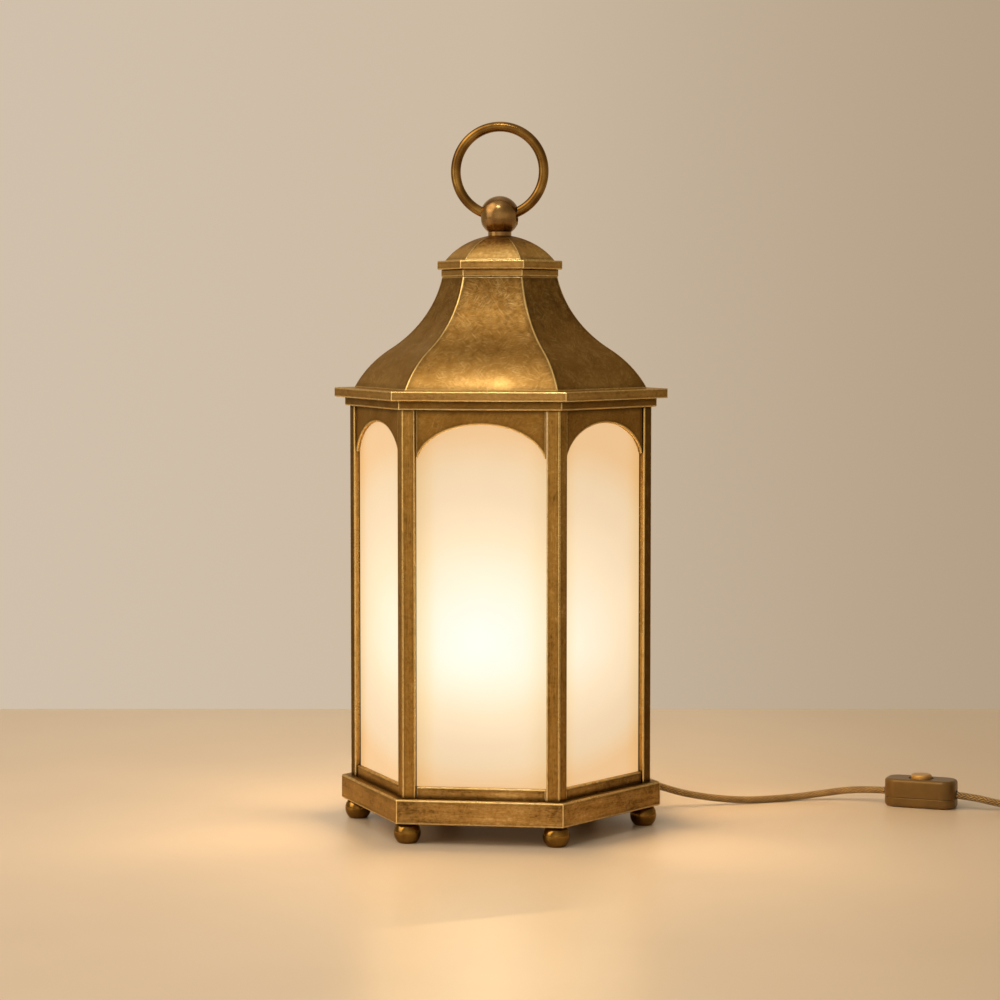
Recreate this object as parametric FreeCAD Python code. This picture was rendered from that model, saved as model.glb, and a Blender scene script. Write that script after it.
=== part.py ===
"""Lantern table lamp: a hexagonal lantern on ball feet, with opal panes round a bulb, a roof that
lifts off, a carrying ring that swings in the finial ball, and a cord with a switch and a plug.

Millimetres. +Z is up and z = 0 is the table. The origin is the middle of the lamp at the table.
Corners of the hexagon stand on the X axis and every 60 degrees from it. The front looks to -Y.
"""
import FreeCAD, Part
import math
import os
from FreeCAD import Vector

# ---- driving dimensions: the hexagon's sizes run from the middle to a corner ("corner") ----
SIDES = 6
SECTOR = 360.0 / SIDES
HALF_SECTOR = SECTOR / 2

fit_gap = 0.3               # between pieces that are set into one another
thread_gap = 0.1            # round a rod that passes through a hole

foot_diameter = 22.0
foot_height = 16.5
foot_inset = 14.0           # from the tray's corner in to the middle of a foot
foot_stud_radius = 2.5
foot_stud_length = 12.0

base_corner = 135.0
base_height = 20.0
base_wall = 2.5
base_skin = 2.0
base_edge = 0.8             # the polished bevel along the tray's edges
boss_radius = 7.0
cover_skin = 2.0

frame_inset = 8.0           # from the tray's corner in to a post's outer corner
post_height = 312.5
flange_width = 10.5
flange_thickness = 5.0
post_edge = 0.7

rail_height = 9.5
inset_thickness = 3.0       # rails and arches
inset_depth = 1.7           # how far they lie behind the posts' faces
inset_gap = 0.9             # the dark line between them and the posts
arch_crown = 11.7           # below the top of the posts
arch_spring = 38.3
arch_leg = 0.8              # the blunt foot of an arch
arch_drop = 6.8             # how far the middle of its oval lies below its feet

pane_thickness = 3.0
pane_lap = 4.0              # how far a pane reaches behind a flange
pane_head_gap = 1.0
stop_thickness = 2.0
stop_height = 6.0

sheet = 1.5                 # the sheet brass of the two ring plates
ring_reach = 4.0            # how far the top ring stands out from the posts
ring_height = 7.2
ring_ledge = 21.3           # from the top ring's corner in to the way in for the bulb
eave_reach = 9.0            # how far the eave stands out from the top ring
eave_height = 7.8
eave_lip = 5.0              # reaches down into the top ring and centres the roof
plate_edge = 0.6

roof_sheet = 1.4
roof_inset = 17.0           # from the eave's corner in to the roof's foot
roof_bend_corner = 92.0     # where the roof's curve changes from swelling to hollow
roof_top_inset = 0.7        # from the collar's corner
roof_height = 92.0
roof_bend_height = 32.5
roof_bend_slope = 54.0      # degrees from upright, across the middle of a face

collar_corner = 49.0
collar_height = 6.0
cap_reach = 3.3             # how far the cap plate stands out from the collar
cap_height = 7.3
dome_inset = 6.3            # from the cap plate's corner
dome_top_corner = 9.5
dome_height = 20.7
dome_foot_slope = 34.7
dome_sheet = 1.5
profile_overrun = 0.2       # share by which a curve runs on past its ends, to be trimmed level

neck_diameter = 19.5
neck_height = 3.4
ball_diameter = 33.0
ring_wire = 8.2
ring_radius = 36.75         # the carrying ring's centreline
ring_play = 0.25
stud_radius = 3.0
stud_length = 44.0
stud_in_ball = 7.0
nut_height = 5.0
nut_corner = 6.4
nipple_nut_corner = 8.1

nipple_radius = 5.0
nipple_bore = 3.6
nipple_below = 6.0          # of it under the tray's top
stem_radius = 8.0
stem_height = 20.0
holder_radius = 20.0
holder_wall = 1.5
holder_neck = 11.0
holder_base_height = 14.5
holder_shoulder = 9.5
insert_flange = 2.0
insert_radius = 17.0
insert_height = 6.0
contact_radius = 4.0
contact_height = 2.0
sleeve_wall = 1.0
sleeve_height = 24.0
shell_height = 29.0
shell_lip = 2.0

bulb_diameter = 60.0
bulb_centre = 74.0          # above the foot contact of its cap
bulb_wall = 1.0
bulb_shoulder = 35.0        # degrees below the globe's equator where the neck's curve meets it
bulb_neck_heading = 85.0    # degrees from level at which the neck leaves the cap
cap_radius = 13.1
cap_groove = 0.5
cap_pitch = 3.6
cap_threads = 6
cap_tip_radius = 5.0
cap_tip_height = 3.0

cord_diameter = 6.0
cord_play = 0.25            # round the cord in the bushing and in the plug
lead_diameter = 4.4
exit_height = 24.7
bushing_outside = 12.5
bushing_inside = 5.0
bushing_flange = 6.2
bushing_flange_sheet = 1.5
bushing_tail = 4.0          # the radius of its thin end
cord_in_bushing = 6.0
lead_height = 21.7
lead_bend = 6.5
lead_level = 26.0           # where it comes level, from the middle
lead_sag = 1.0

switch_centre = (351.7, 120.1)
switch_heading = -14.0
switch_length = 62.0
switch_width = 29.0
switch_height = 24.5
switch_seam = 8.5
switch_wall = 2.0
switch_corner = 11.5
switch_edge = 3.0
seam_edge = 0.4             # the fine groove where the halves meet
works_length = 46.0
works_width = 20.0
works_top = 16.0
cord_height = 12.0          # where the cord enters the switch
button_diameter = 18.0
button_proud = 3.5
button_travel = 2.5
button_flange = 10.2
button_flange_sheet = 1.5
button_edge = 1.2
button_stem = 3.0
recess_radius = 10.8
recess_depth = 1.1

coil_centre = (478.1, 75.8)
coil_mean_radius = 34.0
coil_width = 18.0
coil_low = 0.8
coil_height = 16.4
coil_edge = 4.0
tie_sheet = 0.7
tie_width = 10.0
tie_heading = 150.0

plug_heading = -82.0
plug_height = 7.0           # of its middle above the table
relief_length = 20.0
relief_thick = 5.2
relief_thin = 4.0
plug_length = 35.0
plug_width = 35.0
plug_cord_width = 15.0
plug_face_width = 26.0
plug_thickness = 13.7
plug_edge = 2.0
plug_shoulder = (12.0, 25.0)    # from the relief to the two bends of its side
pin_length = 19.0
pin_diameter = 4.0
pin_spacing = 18.6
cord_in_plug = 5.0

# Each cord's route from its first point inside the fitting that holds it.
lamp_route = [
    (116.9, 67.5, 24.7),
    (129.1, 76.2, 19.3),
    (145.4, 86.1, 12.8),
    (163.4, 94.7, 8.3),
    (182.5, 102.9, 5.0),
    (202.5, 111.3, 3.2),
    (223.3, 121.3, 3.0),
    (243.9, 132.7, 3.3),
    (265.0, 140.7, 5.4),
    (285.4, 139.6, 9.0),
    (306.2, 131.5, 11.6),
]
mains_route = [
    (396.7, 108.9, 10.6),
    (413.1, 107.1, 7.0),
    (430.1, 108.5, 4.0),
    (445.3, 111.3, 3.8),
    (458.7, 113.4, 3.8),
]
plug_route = [
    (519.8, 69.5, 12.8),
    (522.2, 56.2, 9.6),
    (524.6, 41.4, 7.0),
]
PLUG_END = (526.7, 26.6)        # where the cord ends, inside the plug's relief

# ---- corners and levels that follow from them ----
foot_corner = base_corner - foot_inset
frame_corner = base_corner - frame_inset
ring_corner = frame_corner + ring_reach
opening_corner = ring_corner - ring_ledge
eave_corner = ring_corner + eave_reach
roof_foot_corner = eave_corner - roof_inset
roof_top_corner = collar_corner - roof_top_inset
cap_corner = collar_corner + cap_reach
dome_corner = cap_corner - dome_inset
z_base = foot_height
z_deck = z_base + base_height
z_frame = z_deck + post_height
z_ring = z_frame + ring_height
z_eave = z_ring + eave_height
z_collar = z_eave + roof_height
z_cap = z_collar + collar_height
z_dome = z_cap + cap_height
z_neck = z_dome + dome_height
z_ball = z_neck + ball_diameter / 2
z_stem = z_deck + stem_height
z_insert = z_stem + holder_base_height
z_contact = z_insert + insert_height + contact_height
z_glass = z_contact + cap_tip_height + cap_pitch * cap_threads
z_bulb = z_contact + bulb_centre

UP = Vector(0, 0, 1)
ACROSS = math.cos(math.radians(HALF_SECTOR))    # from a corner's size to a face's


# ---- small helpers ----
def polar(radius, degrees, z=0.0):
    return Vector(radius * math.cos(math.radians(degrees)), radius * math.sin(math.radians(degrees)), z)


def prism(corner, z, height):
    """A hexagonal slab."""
    ring = Part.makePolygon([polar(corner, SECTOR * k, z) for k in range(SIDES + 1)])
    return Part.Face(ring).extrude(UP * height)


def band(outer, inner, z, height):
    """A hexagonal ring."""
    return prism(outer, z, height).cut(prism(inner, z, height))


def rod(radius, z, height, x=0.0, y=0.0):
    return Part.makeCylinder(radius, height, Vector(x, y, z))


def tube(outer, inner, z, height):
    return rod(outer, z, height).cut(rod(inner, z, height))


def box(low, high):
    return Part.makeBox(high[0] - low[0], high[1] - low[1], high[2] - low[2], Vector(*low))


def outline(points):
    """A face from points, closed by itself."""
    return Part.Face(Part.makePolygon([Vector(*p) for p in points + points[:1]]))


def spun(points):
    """A solid of revolution about Z from (radius, z) points."""
    return outline([(r, 0, z) for r, z in points]).revolve(Vector(), UP, 360)


def turned(shape, degrees):
    copy = shape.copy()
    copy.rotate(Vector(), UP, degrees)
    return copy


def moved(shape, x, y, z=0.0):
    copy = shape.copy()
    copy.translate(Vector(x, y, z))
    return copy


def joined(shapes):
    first, *rest = shapes
    return first.fuse(rest).removeSplitter()


def bevelled(shape, size, wanted):
    """The shape with a flat bevel on each edge that wanted() picks by its middle."""
    return shape.makeChamfer(size, [e for e in shape.Edges if wanted(e.CenterOfMass)])


def hex_nut(corner, bore, z, height):
    return prism(corner, z, height).cut(rod(bore, z, height))


def face_size(corner):
    """From the middle to a face, for a hexagon of that corner size."""
    return corner * ACROSS


def corner_size(face):
    return face / ACROSS


# ---- feet and base ----
def foot():
    """A ball with a flat under it and on it, and the stud that clamps the cover to the tray."""
    ball = Part.makeSphere(foot_diameter / 2, Vector(0, 0, foot_height / 2))
    slab = rod(foot_diameter, 0, foot_height)
    stud = rod(foot_stud_radius, foot_height, foot_stud_length)
    return moved(joined([ball.common(slab), stud]), foot_corner, 0)


def base_tray():
    """A hexagonal tray, open below, with a boss for each foot."""
    block = prism(base_corner, z_base, base_height)
    ends = (z_base, z_deck)
    block = bevelled(block, base_edge, lambda m: m.z in ends or abs(m.z - z_deck) < fit_gap)
    inside = corner_size(face_size(base_corner) - base_wall)
    tray = block.cut(prism(inside, z_base, base_height - base_skin))
    z_boss = z_base + cover_skin
    bosses = [
        turned(rod(boss_radius, z_boss, z_deck - z_boss, foot_corner), SECTOR * k)
        for k in range(SIDES)
    ]
    bores = [
        turned(rod(foot_stud_radius + thread_gap, z_boss, foot_stud_length, foot_corner), SECTOR * k)
        for k in range(SIDES)
    ]
    tray = joined([tray] + bosses).cut(bores)
    exit_hole = Part.makeCylinder(
        bushing_neck(), 2 * base_wall, wall_point(-base_wall), polar(1, HALF_SECTOR)
    )
    return tray.cut([exit_hole, rod(nipple_radius + thread_gap, z_base, base_height)])


def bottom_cover():
    inside = face_size(base_corner) - base_wall - fit_gap
    plate = prism(corner_size(inside), z_base, cover_skin)
    holes = [
        turned(rod(foot_stud_radius + thread_gap, z_base, cover_skin, foot_corner), SECTOR * k)
        for k in range(SIDES)
    ]
    return plate.cut(holes)


# ---- frame and panes ----
def post():
    """An angle section whose two flanges lie along neighbouring faces."""
    tip = Vector(frame_corner, 0, z_deck)
    back = flange_thickness / ACROSS
    section = [tip]
    for side in (1, -1):
        along = polar(1, side * (180 - SECTOR))
        inward = polar(-1, side * HALF_SECTOR)
        end = tip + along * flange_width
        leg = [end, end + inward * flange_thickness]
        section = section + leg + [tip - Vector(back, 0, 0)] if side > 0 else section + leg[::-1]
    angle = Part.Face(Part.makePolygon(section + [tip])).extrude(UP * post_height)
    middle = z_deck + post_height / 2
    reach = frame_corner - flange_width
    return bevelled(angle, post_edge, lambda m: abs(m.z - middle) < fit_gap and m.x > reach)


def front_plate(profile, behind, thickness):
    """A plate whose (x, z) profile stands `behind` the front face of the frame."""
    y = -(face_size(frame_corner) - behind)
    plate = profile.copy()
    plate.translate(Vector(0, y, 0))
    return plate.extrude(Vector(0, thickness, 0))


def clear_half():
    """Half the way between two flanges on one face."""
    return frame_corner / 2 - flange_width


def bottom_rail():
    half = clear_half() - inset_gap
    top = z_deck + rail_height
    profile = outline([(-half, 0, z_deck), (half, 0, z_deck), (half, 0, top), (-half, 0, top)])
    rail = front_plate(profile, inset_depth, inset_thickness)
    front = -(face_size(frame_corner) - inset_depth)
    return bevelled(rail, post_edge, lambda m: abs(m.z - top) < fit_gap and m.y < front + fit_gap)


def arch():
    """A spandrel: a plate under the top ring, cut by one flat oval arch."""
    half = clear_half() - inset_gap
    spring_half = half - arch_leg
    z_spring = z_frame - arch_spring
    corners = [
        Vector(spring_half, 0, z_spring),
        Vector(half, 0, z_spring),
        Vector(half, 0, z_frame),
        Vector(-half, 0, z_frame),
        Vector(-half, 0, z_spring),
        Vector(-spring_half, 0, z_spring),
    ]
    edges = [Part.LineSegment(a, b).toShape() for a, b in zip(corners, corners[1:])]
    rise = arch_spring - arch_crown + arch_drop
    foot_turn = math.asin(arch_drop / rise)
    oval = Part.Ellipse(Vector(), spring_half / math.cos(foot_turn), rise)
    curve = Part.ArcOfEllipse(oval, foot_turn, math.pi - foot_turn).toShape()
    curve.rotate(Vector(), Vector(1, 0, 0), 90)
    curve.translate(Vector(0, 0, z_spring - arch_drop))
    edges.append(curve)
    plate = front_plate(Part.Face(Part.Wire(edges)), inset_depth, inset_thickness)
    front = -(face_size(frame_corner) - inset_depth)
    below = z_frame - fit_gap
    middle = clear_half() / 2
    return bevelled(
        plate, post_edge, lambda m: m.y < front + fit_gap and m.z < below and abs(m.x) < middle
    )


def pane_outside():
    """From the middle of the lamp to a pane's outer face."""
    return face_size(frame_corner) - flange_thickness


def pane():
    half = clear_half() + pane_lap
    head = z_frame - pane_head_gap
    profile = outline([(-half, 0, z_deck), (half, 0, z_deck), (half, 0, head), (-half, 0, head)])
    return front_plate(profile, flange_thickness, pane_thickness)


def pane_stop(z):
    """A hexagonal strip that keeps the panes against the flanges."""
    outside = pane_outside() - pane_thickness
    return band(corner_size(outside), corner_size(outside - stop_thickness), z, stop_height)


# ---- the ring plates ----
def channel(outer, inner, flange, z, height):
    """A folded ring, open to the middle: a skin on top, a rim outside and a flange under it."""
    rim = corner_size(face_size(outer) - sheet)
    edge = prism(outer, z, height)
    edge = bevelled(edge, plate_edge, lambda m: m.z in (z, z + height))
    hollow = band(rim, inner, z + sheet, height - 2 * sheet)
    throat = prism(flange, z, sheet)
    return edge.cut([prism(inner, z, height), hollow, throat])


def top_ring():
    flange = corner_size(pane_outside() - pane_thickness - stop_thickness)
    return channel(ring_corner, opening_corner, flange, z_frame, ring_height)


def eave_plate():
    """The roof's folded foot, with a lip that drops into the top ring."""
    seat = corner_size(face_size(ring_corner) - flange_width)
    lip_outside = corner_size(face_size(opening_corner) - fit_gap)
    lip_inside = corner_size(face_size(opening_corner) - fit_gap - sheet)
    plate = channel(eave_corner, lip_inside, seat, z_ring, eave_height)
    lip = band(lip_outside, lip_inside, z_ring - eave_lip, eave_lip + eave_height)
    return joined([plate, lip])


# ---- roof ----
def heading_of(start, end):
    """Degrees from +X towards +Z of the straight way from start to end."""
    return math.degrees(math.atan2(end.z - start.z, end.x - start.x))


def arc(start, end, heading, inset, before=0.0, after=0.0):
    """The arc in the XZ plane that leaves start at `heading` for end, moved `inset` to its left.

    It runs on by the share `before` of its turn at its start, and `after` at its end.
    """
    half_turn = heading_of(start, end) - heading
    radius = (end - start).Length / (2 * math.sin(math.radians(half_turn)))

    def left(degrees):
        spin = math.radians(degrees)
        return Vector(-math.sin(spin), 0, math.cos(spin))

    centre = start + left(heading) * radius

    def at(share):
        return centre - left(heading + 2 * half_turn * share) * (radius - inset)

    return Part.Arc(at(-before), at(0.5), at(1 + after)).toShape()


def mitred_shell(outer, inner, low, high):
    """Six equal faces between two profiles, mitred at the corners and trimmed level at both ends.

    The profiles are edges in the XZ plane from foot to top, across the middle of a face.
    """
    def ends(edges):
        first, last = edges[0], edges[-1]
        return first.valueAt(first.FirstParameter), last.valueAt(last.LastParameter)

    joins = [Part.LineSegment(a, b).toShape() for a, b in zip(ends(outer), ends(inner))]
    section = Part.Face(Part.Wire(Part.__sortEdges__(outer + inner + joins)))
    reach = max(v.X for v in section.Vertexes) * 2
    side = reach * math.tan(math.radians(HALF_SECTOR))
    section.translate(Vector(0, -side, 0))
    strip = section.extrude(Vector(0, 2 * side, 0))
    wedge = outline([(0, 0, low), (reach, -side, low), (reach, side, low)]).extrude(UP * (high - low))
    sector = strip.common(wedge)
    return joined([turned(sector, HALF_SECTOR + SECTOR * k) for k in range(SIDES)])


def roof_shell():
    """The ogee roof: it swells above the eave, then hollows up to the collar."""
    foot = Vector(face_size(roof_foot_corner), 0, z_eave)
    bend = Vector(face_size(roof_bend_corner), 0, z_eave + roof_bend_height)
    top = Vector(face_size(roof_top_corner), 0, z_collar)
    bend_heading = 90 + roof_bend_slope
    foot_heading = 2 * heading_of(foot, bend) - bend_heading

    def profile(inset):
        return [
            arc(foot, bend, foot_heading, inset, before=profile_overrun),
            arc(bend, top, bend_heading, inset, after=profile_overrun),
        ]

    return mitred_shell(profile(0), profile(roof_sheet), z_eave, z_collar)


def dome_cap():
    """A low hexagonal dome between the cap plate and the finial, open in the middle for its stud."""
    foot = Vector(face_size(dome_corner), 0, z_dome)
    top = Vector(face_size(dome_top_corner), 0, z_neck)

    def profile(inset):
        return [arc(foot, top, 90 + dome_foot_slope, inset, before=profile_overrun)]

    shell = mitred_shell(profile(0), profile(dome_sheet), z_dome, z_neck)
    return shell.cut(rod(stud_radius + thread_gap, z_dome, dome_height))


def slab_on_stud(corner, z, height):
    slab = prism(corner, z, height)
    slab = bevelled(slab, plate_edge, lambda m: m.z in (z, z + height))
    return slab.cut(rod(stud_radius + thread_gap, z, height))


def ring_way():
    """What the ring's wire sweeps inside the ball, as it swings about the X axis."""
    z_ring_centre = z_ball + ring_radius
    clear = ring_radius - ring_wire / 2 - ring_play
    reach = ball_diameter / 2 + ring_play
    rise = ring_radius - math.sqrt(clear ** 2 - reach ** 2)
    left, right = Vector(-reach, 0, z_ball + rise), Vector(reach, 0, z_ball + rise)
    curve = Part.Arc(left, Vector(0, 0, z_ring_centre - clear), right).toShape()
    floor = [right, Vector(reach, 0, z_ball), Vector(-reach, 0, z_ball), left]
    lines = [Part.LineSegment(a, b).toShape() for a, b in zip(floor, floor[1:])]
    return Part.Face(Part.Wire([curve] + lines)).revolve(Vector(0, 0, z_ball), Vector(1, 0, 0), 360)


def finial_ball():
    """The ball on its neck, bored for the ring and tapped for the stud."""
    ball = Part.makeSphere(ball_diameter / 2, Vector(0, 0, z_ball))
    neck = rod(neck_diameter / 2, z_neck, neck_height)
    tap = rod(stud_radius, z_neck, stud_in_ball)
    return joined([ball, neck]).cut([ring_way(), tap])


def carry_ring():
    return Part.makeTorus(
        ring_radius, ring_wire / 2, Vector(0, 0, z_ball + ring_radius), Vector(0, 1, 0)
    )


# ---- lamp holder and bulb ----
def nipple():
    z = z_deck - base_skin - nipple_below
    top = z_stem + holder_wall + nut_height
    return tube(nipple_radius, nipple_bore, z, top - z)


def nipple_nuts():
    z_below = z_deck - base_skin - nut_height
    z_above = z_stem + holder_wall
    nuts = [hex_nut(nipple_nut_corner, nipple_radius, z, nut_height) for z in (z_below, z_above)]
    return Part.makeCompound(nuts)


def holder_base():
    """The cup under the lamp holder."""
    hole = nipple_radius + thread_gap
    z_wide = z_stem + holder_shoulder
    inner = holder_radius - holder_wall
    return spun([
        (hole, z_stem), (holder_neck, z_stem), (holder_radius, z_wide), (holder_radius, z_insert),
        (inner, z_insert), (inner, z_wide), (holder_neck, z_stem + holder_wall),
        (hole, z_stem + holder_wall),
    ])


def holder_insert():
    """The ceramic body with its middle contact and the threaded sleeve for the bulb."""
    z_flange = z_insert + insert_flange
    z_body = z_insert + insert_height
    sleeve_in = cap_radius + thread_gap
    body = spun([
        (0, z_insert), (holder_radius, z_insert), (holder_radius, z_flange),
        (insert_radius, z_flange), (insert_radius, z_body), (0, z_body),
    ])
    contact = rod(contact_radius, z_body, contact_height)
    return joined([body, contact, tube(sleeve_in + sleeve_wall, sleeve_in, z_body, sleeve_height)])


def holder_shell():
    """The outer shell, which stands on the insert's flange and turns in at its mouth."""
    z = z_insert + insert_flange
    top = z + shell_height
    inner = holder_radius - holder_wall
    mouth = cap_radius + sleeve_wall + 2 * thread_gap
    return spun([
        (holder_radius, z), (holder_radius, top - shell_lip), (holder_radius - shell_lip, top),
        (mouth, top), (mouth, top - holder_wall), (inner - shell_lip, top - holder_wall),
        (inner, top - shell_lip - holder_wall), (inner, z),
    ])


def bulb_cap():
    """The screw cap: a tapered tip below rolled threads."""
    z = z_contact + cap_tip_height
    points = [(0, z_contact), (cap_tip_radius, z_contact)]
    for k in range(cap_threads):
        low = z + cap_pitch * k
        points += [(cap_radius - cap_groove, low), (cap_radius, low + cap_pitch / 2)]
    points += [(cap_radius - cap_groove, z_glass), (0, z_glass)]
    return spun(points)


def bulb_glass():
    """A pear-shaped envelope, hollow, open where it is cemented to the cap."""
    low = math.radians(-bulb_shoulder)

    def envelope(inset):
        radius = bulb_diameter / 2 - inset
        rim = Vector(cap_radius - cap_groove - inset, 0, z_glass)
        meet = Vector(radius * math.cos(low), 0, z_bulb + radius * math.sin(low))
        top = Vector(0, 0, z_bulb + radius)
        edges = [
            arc(rim, meet, bulb_neck_heading, 0),
            Part.Arc(meet, Vector(radius, 0, z_bulb), top).toShape(),
            Part.LineSegment(top, Vector(0, 0, z_glass)).toShape(),
            Part.LineSegment(Vector(0, 0, z_glass), rim).toShape(),
        ]
        return Part.Face(Part.Wire(edges)).revolve(Vector(), UP, 360)

    return envelope(0).cut(envelope(bulb_wall))


# ---- cord ----
def route_wire(points, share=0.45):
    """Straight runs joined by tangent arcs, and the arcs' radii."""
    edges, radii = [], []
    start = points[0]
    for before, here, after in zip(points, points[1:], points[2:]):
        back, on = (before - here), (after - here)
        reach = share * min(back.Length, on.Length)
        half_turn = (math.pi - back.getAngle(on)) / 2
        radius = reach / math.tan(half_turn)
        to_back, to_on = back.normalize() * reach, on.normalize() * reach
        inward = (to_back + to_on).normalize()
        middle = here + inward * (radius / math.cos(half_turn) - radius)
        edges.append(Part.LineSegment(start, here + to_back).toShape())
        edges.append(Part.Arc(here + to_back, middle, here + to_on).toShape())
        start = here + to_on
        radii.append(radius)
    edges.append(Part.LineSegment(start, points[-1]).toShape())
    return Part.Wire(edges), radii


def cord_tube(name, points, diameter):
    """A round tube along a route. Prints its length, its bends and how true its volume is."""
    wire, radii = route_wire(points)
    first = (points[1] - points[0]).normalize()
    ring = Part.Wire(Part.makeCircle(diameter / 2, points[0], first))
    solid = wire.makePipeShell([ring], True, True)
    true_volume = math.pi * diameter ** 2 / 4 * wire.Length
    print(
        name, "length %.1f" % wire.Length, "volume ratio %.4f" % (solid.Volume / true_volume),
        "radii", " ".join("%.0f" % r for r in radii),
    )
    return solid


def wall_point(outward, z=exit_height):
    """A point on the exit's axis, `outward` from the tray's back right wall."""
    return polar(face_size(base_corner) + outward, HALF_SECTOR, z)


def bushing_neck():
    return bushing_flange - bushing_flange_sheet + thread_gap


def cord_bushing():
    """A moulded strain relief: two flanges that hold the wall and a tapered tail."""
    neck = bushing_neck() - thread_gap
    wall_in, wall_out = -base_wall, 0.0
    outside = wall_out + bushing_flange_sheet
    profile = outline([
        (0, 0, -bushing_inside), (neck, 0, -bushing_inside), (bushing_flange, 0, wall_in),
        (neck, 0, wall_in), (neck, 0, wall_out), (bushing_flange, 0, wall_out),
        (bushing_flange, 0, outside), (neck, 0, outside),
        (bushing_tail, 0, bushing_outside), (0, 0, bushing_outside),
    ])
    solid = profile.revolve(Vector(), UP, 360)
    floor = bushing_outside - cord_in_bushing
    solid = solid.cut(rod(cord_diameter / 2 + cord_play, floor, cord_in_bushing))
    solid.rotate(Vector(), Vector(0, 1, 0), 90)
    solid.translate(Vector(face_size(base_corner), 0, exit_height))
    return turned(solid, HALF_SECTOR)


def inner_lead():
    """From the bushing across the tray, then up through the nipple to the holder."""
    start = wall_point(-bushing_inside)
    half_way = polar(start.Length / 2, HALF_SECTOR, (exit_height + lead_height) / 2 - lead_sag)
    near = polar(lead_level, HALF_SECTOR, lead_height)
    turn_in = polar(lead_bend, HALF_SECTOR, lead_height)
    short = lead_bend * (1 - math.cos(math.pi / 4))
    bend = polar(short, HALF_SECTOR, lead_height + short)
    turn_up = Vector(0, 0, lead_height + lead_bend)
    end = Vector(0, 0, z_insert)
    wire, _ = route_wire([start, half_way, near, turn_in])
    edges = wire.Edges + [
        Part.Arc(turn_in, bend, turn_up).toShape(),
        Part.LineSegment(turn_up, end).toShape(),
    ]
    ring = Part.Wire(Part.makeCircle(lead_diameter / 2, start, half_way - start))
    return Part.Wire(edges).makePipeShell([ring], True, True)


def along(origin, heading, distance, z):
    return Vector(*origin, z) + polar(distance, heading)


def lamp_cord():
    start = wall_point(bushing_outside - cord_in_bushing)
    end = along(switch_centre, switch_heading, -works_length / 2, cord_height)
    return cord_tube("lamp_cord", [start] + [Vector(*p) for p in lamp_route] + [end], cord_diameter)


def mains_cord():
    start = along(switch_centre, switch_heading, works_length / 2, cord_height)
    return cord_tube("mains_cord", [start] + [Vector(*p) for p in mains_route], cord_diameter)


def plug_cord():
    end = Vector(*PLUG_END, plug_height)
    return cord_tube("plug_cord", [Vector(*p) for p in plug_route] + [end], cord_diameter)


def bundle_section(grow):
    """The rounded section of the coil's bundle, grown all round, in the XZ plane."""
    half, high = coil_width / 2 + grow, coil_height + 2 * grow
    low = coil_low - grow
    block = box(
        (coil_mean_radius - half, -coil_edge, low), (coil_mean_radius + half, coil_edge, low + high)
    )
    lengthwise = [e for e in block.Edges if abs(e.CenterOfMass.y) < fit_gap]
    block = block.makeFillet(coil_edge + grow, lengthwise)
    return Part.Face(block.slice(Vector(0, 1, 0), 0))


def cord_coil():
    return moved(bundle_section(0).revolve(Vector(), UP, 360), *coil_centre)


def coil_tie():
    """A strap round the bundle."""
    spread = math.degrees(tie_width / coil_mean_radius)
    outside = bundle_section(tie_sheet).revolve(Vector(), UP, spread)
    strap = outside.cut(bundle_section(0).revolve(Vector(), UP, spread))
    return moved(turned(strap, tie_heading), *coil_centre)


# ---- switch ----
def rounded_block(length, width, corner, z, height):
    block = Part.makeBox(length, width, height, Vector(-length / 2, -width / 2, z))
    upright = [e for e in block.Edges if abs(e.tangentAt(0).z) > 0.9]
    return block.makeFillet(corner, upright)


def switch_hull(edge_z):
    """The outer form of the switch, rounded along the edges at edge_z."""
    hull = rounded_block(switch_length, switch_width, switch_corner, 0, switch_height)
    return hull.makeFillet(switch_edge, [e for e in hull.Edges if abs(e.CenterOfMass.z - edge_z) < fit_gap])


def switch_hollow():
    return rounded_block(
        switch_length - 2 * switch_wall, switch_width - 2 * switch_wall,
        switch_corner - switch_wall, switch_wall, switch_height - 2 * switch_wall,
    )


def switch_slab(z_low, z_high):
    half = switch_length
    return box((-half, -half, z_low), (half, half, z_high))


def placed_switch(shape):
    return moved(turned(shape, switch_heading), *switch_centre)


def switch_half(hull, z_low, z_high):
    """The hull's part between two levels, with a fine bevel round the seam."""
    half = hull.common(switch_slab(z_low, z_high))
    return bevelled(half, seam_edge, lambda m: abs(m.z - switch_seam) < thread_gap)


def switch_lower():
    half = switch_half(switch_hull(0), 0, switch_seam)
    return placed_switch(half.cut(switch_hollow()))


def switch_upper():
    """The upper half, with a way in for the cord at each end and a recess round the button."""
    hull = switch_half(switch_hull(switch_height), switch_seam, switch_height)
    way = Part.makeCylinder(
        cord_diameter / 2, 2 * switch_length, Vector(-switch_length, 0, cord_height), Vector(1, 0, 0)
    )
    half = cord_diameter / 2
    slot = box((-switch_length, -half, 0), (switch_length, half, cord_height))
    floor = switch_height - recess_depth
    hole = rod(button_diameter / 2 + fit_gap, 0, switch_height)
    recess = rod(recess_radius, floor, recess_depth)
    return placed_switch(hull.cut([switch_hollow(), way, slot, hole, recess]))


def switch_works():
    """The closed contact block in the lower half."""
    half_long, half_wide = works_length / 2, works_width / 2
    block = box((-half_long, -half_wide, switch_wall), (half_long, half_wide, works_top))
    return placed_switch(block)


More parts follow.
